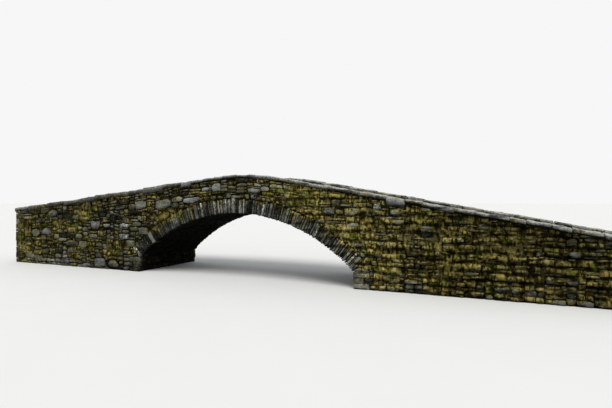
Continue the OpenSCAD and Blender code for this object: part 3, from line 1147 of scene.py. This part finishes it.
def stoneMaterial(name, look):
    # spot[0] is the place along the bridge and spot[2] the height, in metres
    material, tree, surface = newTree(name)
    place = addNode(tree, "ShaderNodeTexCoord").outputs["Object"]
    spot = addNode(tree, "ShaderNodeSeparateXYZ", {0: place}).outputs
    looks = addNode(tree, "ShaderNodeAttribute", attribute_name="stoneLook")
    tone, pale, mossy = addNode(tree, "ShaderNodeSeparateColor", {0: looks.outputs["Color"]}).outputs[:3]
    daylight = looks.outputs["Alpha"]
    normal = addNode(tree, "ShaderNodeNewGeometry").outputs["Normal"]
    upward = addNode(tree, "ShaderNodeSeparateXYZ", {0: normal}).outputs[2]

    # Slate, split in thin leaves and mottled
    blotch = noiseNode(tree, place, 3.1, 5, 0.6)
    mottle = noiseNode(tree, place, 12, 3, 0.6)
    speckle = noiseNode(tree, place, 17, 2, 0.6)
    leaves = noiseNode(tree, stretched(tree, place, look["leaves"]), 1.6, 5, 0.6)
    grain = noiseNode(tree, place, 36, 6, 0.68)
    shade = weighed(tree, -2.5, (tone, 1.1), (blotch, 1.0), (mottle, 1.4), (speckle, 1.3),
                    (leaves, 0.8), (grain, 0.8))
    stone = blendColors(tree, ramp(tree, shade, 0, 1), look["dark"], look["light"])
    brown = ramp(tree, noiseNode(tree, place, 1.7, 3), 0.5, 0.72)
    stone = blendColors(tree, times(tree, brown, 0.45), stone, look["brown"])
    crusted = ramp(tree, pale, 1.0, 1.4)
    dulled = weighed(tree, 1, (crusted, look["crusted"] - 1))
    paleness = times(tree, mathNode(tree, "MINIMUM", pale, 1.0), dulled)
    worn = ramp(tree, weighed(tree, 0, (speckle, 0.5), (leaves, 0.35), (grain, 0.15)), 0.38, 0.6)
    paleness = times(tree, paleness, worn)
    stone = blendColors(tree, paleness, stone, look["pale"])

    # Lichen: white crusts on some stones, and a few spots anywhere
    crust = noiseNode(tree, stretched(tree, place, look["streaks"]), 10, 4, 0.6)
    lichen = times(tree, ramp(tree, crust, look["crustFrom"], look["crustFrom"] + 0.06), crusted)
    dots = ramp(tree, cellDistance(tree, place, 13), 0.26, 0.16)
    dots = times(tree, dots, ramp(tree, noiseNode(tree, place, 2.3), 0.55, 0.62))
    lichen = mathNode(tree, "MAXIMUM", lichen, times(tree, dots, 0.45))
    stone = blendColors(tree, times(tree, lichen, 0.8), stone, look["lichen"])

    # Moss in patches, more of it on ledges, in joints and along the beds of the right-hand courses
    patch = noiseNode(tree, stretched(tree, place, (1, 1, 1.3)), 3.6, 6, 0.62)
    rightward = ramp(tree, spot[0], 0.5, 3.0)
    film = ramp(tree, weighed(tree, 0, (mossy, 0.6), (patch, 1.0)), 0.35, 0.85)
    stone = blendColors(tree, film, stone, look["film"], "MULTIPLY")
    turns = 2 * math.pi / coursedRubble["course"]
    course = weighed(tree, 0, (spot[2], turns), (noiseNode(tree, place, 0.9, 4), 8.0))
    bands = times(tree, mathNode(tree, "SINE", course), rightward)
    ledge = ramp(tree, upward, 0.1, 0.7)
    growth = weighed(tree, 0, (mossy, 0.5), (patch, 1.7), (ledge, look["ledge"]), (bands, 0.09),
                     (ramp(tree, daylight, 0.95, 0.35), 0.12))
    moss = times(tree, ramp(tree, growth, 1.08, 1.18), look["mossMost"])
    strands = noiseNode(tree, stretched(tree, place, (13, 13, 4.5)), 1.0, 2, 0.55)
    tufts = noiseNode(tree, place, 11, 3, 0.6)
    clumps = noiseNode(tree, stretched(tree, place, (1, 1, 1.5)), 4.2, 3)
    thick = ramp(tree, mossy, 0.95, 1.15)
    straw = weighed(tree, 0, (strands, 1.1), (tufts, 0.4), (clumps, 0.6), (bands, 0.05), (thick, 0.11))
    straw = ramp(tree, straw, 0.95, 1.22)
    warm = ramp(tree, noiseNode(tree, place, 8, 3), 0.43, 0.57)
    tips = blendColors(tree, warm, look["straw"], look["warmStraw"])
    nearCrest = times(tree, ramp(tree, spot[0], 0.3, 0.9), ramp(tree, spot[0], 3.4, 2.6))
    greener = ramp(tree, weighed(tree, 0, (noiseNode(tree, place, 2.9, 4), 1), (nearCrest, 0.03)), 0.55, 0.62)
    tips = blendColors(tree, greener, tips, look["green"])
    mossColor = blendColors(tree, straw, look["moss"], tips)
    color = blendColors(tree, moss, stone, mossColor)

    # Painted shade, from the painted daylight: dark in the joints and shaded places, fading where moss has
    # filled them;
    # painted shadow in slots under the courses and in hollows of the moss, and broad darker blotches, partly
    # painted shade and partly damp stains; the middle stretch is lighter
    slot = times(tree, ramp(tree, bands, -0.2, -0.7), ramp(tree, noiseNode(tree, place, 3, 4), 0.42, 0.54))
    paintedShade = ramp(tree, daylight, 0.12, 0.85)
    fill = ramp(tree, weighed(tree, 0, (daylight, 1), (rightward, 0.13)), 0.2, 0.76)
    paintedShade = mathNode(tree, "MAXIMUM", paintedShade, times(tree, moss, fill), clamp=True)
    paintedShade = times(tree, weighed(tree, 0.1, (paintedShade, 0.9)), weighed(tree, 1, (slot, -0.8)))
    damp = ramp(tree, noiseNode(tree, stretched(tree, place, (1, 1, 1.6)), 1.7, 5, 0.65), 0.4, 0.6)
    paintedShade = times(tree, paintedShade, weighed(tree, 1 - look["damp"], (damp, 1.4 * look["damp"])))
    mossHollowShade = ramp(tree, weighed(tree, 0, (strands, 0.6), (tufts, 0.4)), 0.5, 0.4)
    paintedShade = times(tree, paintedShade, weighed(tree, 1, (times(tree, mossHollowShade, moss), -0.6)))
    raised = times(tree, ramp(tree, spot[0], -7, -3), ramp(tree, spot[0], 6.4, 5.0))
    dry = times(tree, ramp(tree, spot[0], -0.5, 1.5), raised)
    paintedShade = times(tree, paintedShade, weighed(tree, 1, (dry, look["dry"])))
    paintedShade = weighed(tree, 0, (paintedShade, 1), (raised, 0.2 * look["dry"]))
    tree.links.new(blendColors(tree, 1.0, color, paintedShade, "MULTIPLY"), surface.inputs["Base Color"])

    tree.links.new(weighed(tree, look["rough"], (grain, 0.25)), surface.inputs["Roughness"])
    surface.inputs["Specular IOR Level"].default_value = look["shine"]
    mossRelief = times(tree, weighed(tree, 0, (strands, 1.2), (tufts, 0.8)), moss)
    relief = weighed(tree, 0, (leaves, 0.7), (mottle, 0.6), (grain, 0.35), (mossRelief, 1))
    bump = addNode(tree, "ShaderNodeBump", {"Strength": look["bump"], "Distance": 0.025, "Height": relief})
    tree.links.new(bump.outputs[0], surface.inputs["Normal"])
    return material


# Colours of stone and moss, then grain and streak sizes, the amounts of each growth and of the painted shade,
# and the finish
rubbleColors = {
    "dark": (0.014, 0.0135, 0.006), "light": (0.195, 0.202, 0.188), "brown": (0.073, 0.055, 0.03),
    "pale": (0.34, 0.355, 0.34), "lichen": (0.6, 0.61, 0.58), "film": (1.0, 0.9, 0.5),
    "moss": (0.046, 0.038, 0.003), "straw": (0.35, 0.315, 0.13), "warmStraw": (0.35, 0.255, 0.06),
    "green": (0.17, 0.185, 0.03), "leaves": (3, 3, 15), "streaks": (1.6, 1.6, 1.6),
    "crusted": 0.5, "crustFrom": 0.51, "mossMost": 0.95, "ledge": 0.08, "damp": 0.6, "dry": 0.26,
    "rough": 0.7, "bump": 0.8, "shine": 0.02,
}
copingColors = dict(
    rubbleColors, dark=(0.009, 0.0088, 0.005), light=(0.16, 0.164, 0.15), pale=(0.64, 0.65, 0.61),
    film=(1.0, 0.96, 0.8), mossMost=0.85, ledge=-0.05, damp=0.2, dry=0, shine=0.12)
ringColors = dict(
    rubbleColors, dark=(0.009, 0.0088, 0.005), light=(0.14, 0.146, 0.133), lichen=(0.85, 0.86, 0.83),
    film=(1.0, 0.95, 0.72), leaves=(14, 14, 3), streaks=(2.1, 2.1, 0.8), crusted=0.15, mossMost=0.85)
# The soffit's stone is painted near black, as the shade under the arch
soffitShadeColors = dict(
    rubbleColors, dark=(0.002, 0.002, 0.0017), light=(0.009, 0.009, 0.0075), brown=(0.006, 0.005, 0.003),
    lichen=(0.02, 0.024, 0.017), moss=(0.004, 0.005, 0.0015), straw=(0.014, 0.014, 0.006),
    warmStraw=(0.015, 0.012, 0.005), green=(0.006, 0.007, 0.002), rough=0.9, shine=0.03, dry=0)
roadColors = dict(
    rubbleColors, dark=(0.07, 0.066, 0.056), light=(0.28, 0.262, 0.225), brown=(0.16, 0.125, 0.082),
    film=(1.0, 0.97, 0.85), mossMost=0.5, ledge=-0.15, dry=0)


def earthMaterial(name, look):
    # Packed earth and small rubble, for hearting, fill and the road's bed
    material, tree, surface = newTree(name)
    place = addNode(tree, "ShaderNodeTexCoord").outputs["Object"]
    lumps = noiseNode(tree, place, 14, 7, 0.7)
    broad = noiseNode(tree, place, 1.9, 3)
    pebbles = cellDistance(tree, place, look["pebbles"])
    color = blendColors(tree, lumps, look["dark"], look["light"])
    color = blendColors(tree, times(tree, ramp(tree, broad, 0.45, 0.7), 0.6), color, look["moss"])
    color = blendColors(tree, times(tree, ramp(tree, pebbles, 0.35, 0.1), 0.5), color, look["pebble"])
    tree.links.new(color, surface.inputs["Base Color"])
    surface.inputs["Roughness"].default_value = 0.95
    surface.inputs["Specular IOR Level"].default_value = 0.15
    relief = weighed(tree, 0, (lumps, 1.2), (pebbles, -0.8))
    bump = addNode(tree, "ShaderNodeBump", {"Strength": 0.9, "Distance": 0.02, "Height": relief})
    tree.links.new(bump.outputs[0], surface.inputs["Normal"])
    return material


materials = {
    "rubble": stoneMaterial("rubble_stone", rubbleColors),
    "coping": stoneMaterial("coping_stone", copingColors),
    "ring": stoneMaterial("ring_stone", ringColors),
    "soffit": stoneMaterial("soffit_stone", soffitShadeColors),
    "paving": stoneMaterial("paving_stone", roadColors),
    # The hearting is dark earth painted near black, as the shade deep in the joints
    "hearting": earthMaterial("hearting_earth", {
        "dark": (0.003, 0.003, 0.002), "light": (0.012, 0.010, 0.005), "moss": (0.012, 0.011, 0.003),
        "pebble": (0.016, 0.015, 0.012), "pebbles": 22}),
    "bed": earthMaterial("road_earth", {
        "dark": (0.10, 0.08, 0.055), "light": (0.24, 0.2, 0.145), "moss": (0.12, 0.115, 0.05),
        "pebble": (0.32, 0.3, 0.25), "pebbles": 45}),
}
print("materials made:", ", ".join(materials))


# Pieces: one joined mesh for each CAD node, stones first and hearting after
def meshFrom(name, points, triangles):
    mesh = bpy.data.meshes.new(name)
    mesh.vertices.add(len(points))
    mesh.vertices.foreach_set("co", points.astype(np.float32).ravel())
    mesh.loops.add(triangles.size)
    mesh.loops.foreach_set("vertex_index", triangles.astype(np.int32).ravel())
    mesh.polygons.add(len(triangles))
    mesh.polygons.foreach_set("loop_start", np.arange(0, triangles.size, 3, dtype=np.int32))
    mesh.polygons.foreach_set("use_smooth", np.ones(len(triangles), bool))
    mesh.update(calc_edges=True)
    mesh.validate()
    return mesh


def addObject(name, data):
    made = bpy.data.objects.new(name, data)
    bpy.context.scene.collection.objects.link(made)
    return made


def addPiece(node, suffix, stone, slot):
    stonePoints, stoneTriangles, looks = joined(heaps[node])
    corePoints, coreTriangles = drawnBack(node)
    if node in beds:
        bedPoints, bedTriangles = beds[node]
        coreTriangles = np.concatenate([coreTriangles, bedTriangles + len(corePoints)])
        corePoints = np.concatenate([corePoints, bedPoints])
    points = np.concatenate([stonePoints, corePoints])
    triangles = np.concatenate([stoneTriangles, coreTriangles + len(stonePoints)])
    mesh = meshFrom(node + suffix, points, triangles)
    attribute = mesh.attributes.new("stoneLook", "FLOAT_COLOR", "POINT")
    allLooks = np.concatenate([looks, np.tile([0.5, 0, 0.5, 0.2], (len(corePoints), 1))])
    attribute.data.foreach_set("color", allLooks.astype(np.float32).ravel())
    mesh.materials.append(materials[stone])
    mesh.materials.append(materials["bed" if node in beds else "hearting"])
    ofHearting = np.arange(len(triangles)) >= len(stoneTriangles)
    mesh.polygons.foreach_set("material_index", ofHearting.astype(np.int32))
    mesh.set_sharp_from_angle(angle=math.radians(52))
    piece = addObject(node + suffix, mesh)
    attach(piece, "root")
    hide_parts(node)
    return len(triangles)


# How the pieces of each kind of node end their names, their stone and a slot name
kinds = {
    "arch_ring": ("_voussoirs", "ring", "arch_stone"), "vault": ("_soffit", "soffit", "arch_stone"),
    "coping": ("_slabs", "coping", "coping_stone"), "road": ("_paving", "paving", "road_gravel"),
}
wallKind = ("_stones", "rubble", "rubble")
total = 0
for node in sorted(heaps):
    kind = next((kinds[start] for start in kinds if node.startswith(start)), wallKind)
    count = addPiece(node, *kind)
    total += count
    print(f"  {node}: {count} triangles")
print("pieces made:", len(heaps), "with", total, "triangles")

# The fill stays as the frame has it, out of sight
for node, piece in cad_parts.items():
    if "fill" in node:
        for slot in piece.material_slots:
            slot.material = materials["hearting"]


# Studio: a pale floor and soft, even light
studio = {
    "floorReach": 400, "floorColors": ((0.78, 0.78, 0.77), (0.81, 0.81, 0.8)), "floorGlow": (0.3, 0.3, 0.29),
    "backdrop": (0.93, 0.93, 0.93, 1), "ambient": (0.96, 0.98, 1, 1), "ambientStrength": 0.6,
    "sun": 2.0, "sunWide": math.radians(35), "sunColor": (1, 0.985, 0.95),
    "sunTurn": (math.radians(32), 0, math.radians(28)),
}


def seenPlainly(tree):
    # True for what the camera sees, straight or in a gloss
    rays = addNode(tree, "ShaderNodeLightPath").outputs
    mirrored = mathNode(tree, "MAXIMUM", rays["Is Glossy Ray"], rays["Is Transmission Ray"])
    return mathNode(tree, "MAXIMUM", rays["Is Camera Ray"], mirrored)


def floorMaterial():
    material, tree, surface = newTree("studio_floor")
    place = addNode(tree, "ShaderNodeTexCoord").outputs["Object"]
    color = blendColors(tree, noiseNode(tree, place, 0.4), *studio["floorColors"])
    color = blendColors(tree, seenPlainly(tree), studio["floorGlow"], color)
    tree.links.new(color, surface.inputs["Base Color"])
    surface.inputs["Roughness"].default_value = 0.9
    return material


floorCorners = np.array([[-1, -1, 0], [1, -1, 0], [1, 1, 0], [-1, 1, 0]]) * studio["floorReach"]
floorMesh = meshFrom("studio_floor", floorCorners, np.array([[0, 1, 2], [0, 2, 3]]))
floorMesh.materials.append(floorMaterial())
floor = addObject("studio_floor", floorMesh)

world = bpy.data.worlds.new("studio_light")
bpy.context.scene.world = world
world.use_nodes = True
lightTree = world.node_tree
lightTree.nodes.clear()
ambient = addNode(lightTree, "ShaderNodeBackground",
                  {"Color": studio["ambient"], "Strength": studio["ambientStrength"]})
backdrop = addNode(lightTree, "ShaderNodeBackground", {"Color": studio["backdrop"], "Strength": 1.0})
mixed = addNode(lightTree, "ShaderNodeMixShader",
                {0: seenPlainly(lightTree), 1: ambient.outputs[0], 2: backdrop.outputs[0]})
addNode(lightTree, "ShaderNodeOutputWorld", {"Surface": mixed.outputs[0]})

sunData = bpy.data.lights.new("soft_sun", "SUN")
sunData.energy = studio["sun"]
sunData.angle = studio["sunWide"]
sunData.color = studio["sunColor"]
sun = addObject("soft_sun", sunData)
sun.rotation_euler = studio["sunTurn"]
print("studio set, with", len(bpy.data.materials), "materials in all")

# Camera: low down and to the right; its place is measured from the arch's middle, front and springing
view = {"lens": 28, "sensor": 36, "place": (9.992, -15.538, 2.467), "lean": -0.009, "turn": 0.423}
cameraData = bpy.data.cameras.new("low_camera")
cameraData.lens = view["lens"]
cameraData.sensor_width = view["sensor"]
cameraData.clip_end = 1000
camera = addObject("low_camera", cameraData)
camera.location = np.array(view["place"]) + (archX, -faceY, springZ)
camera.rotation_euler = (math.pi / 2 + view["lean"], 0, view["turn"])
bpy.context.scene.camera = camera
bpy.context.scene.view_settings.view_transform = "Standard"

bpy.context.view_layer.update()
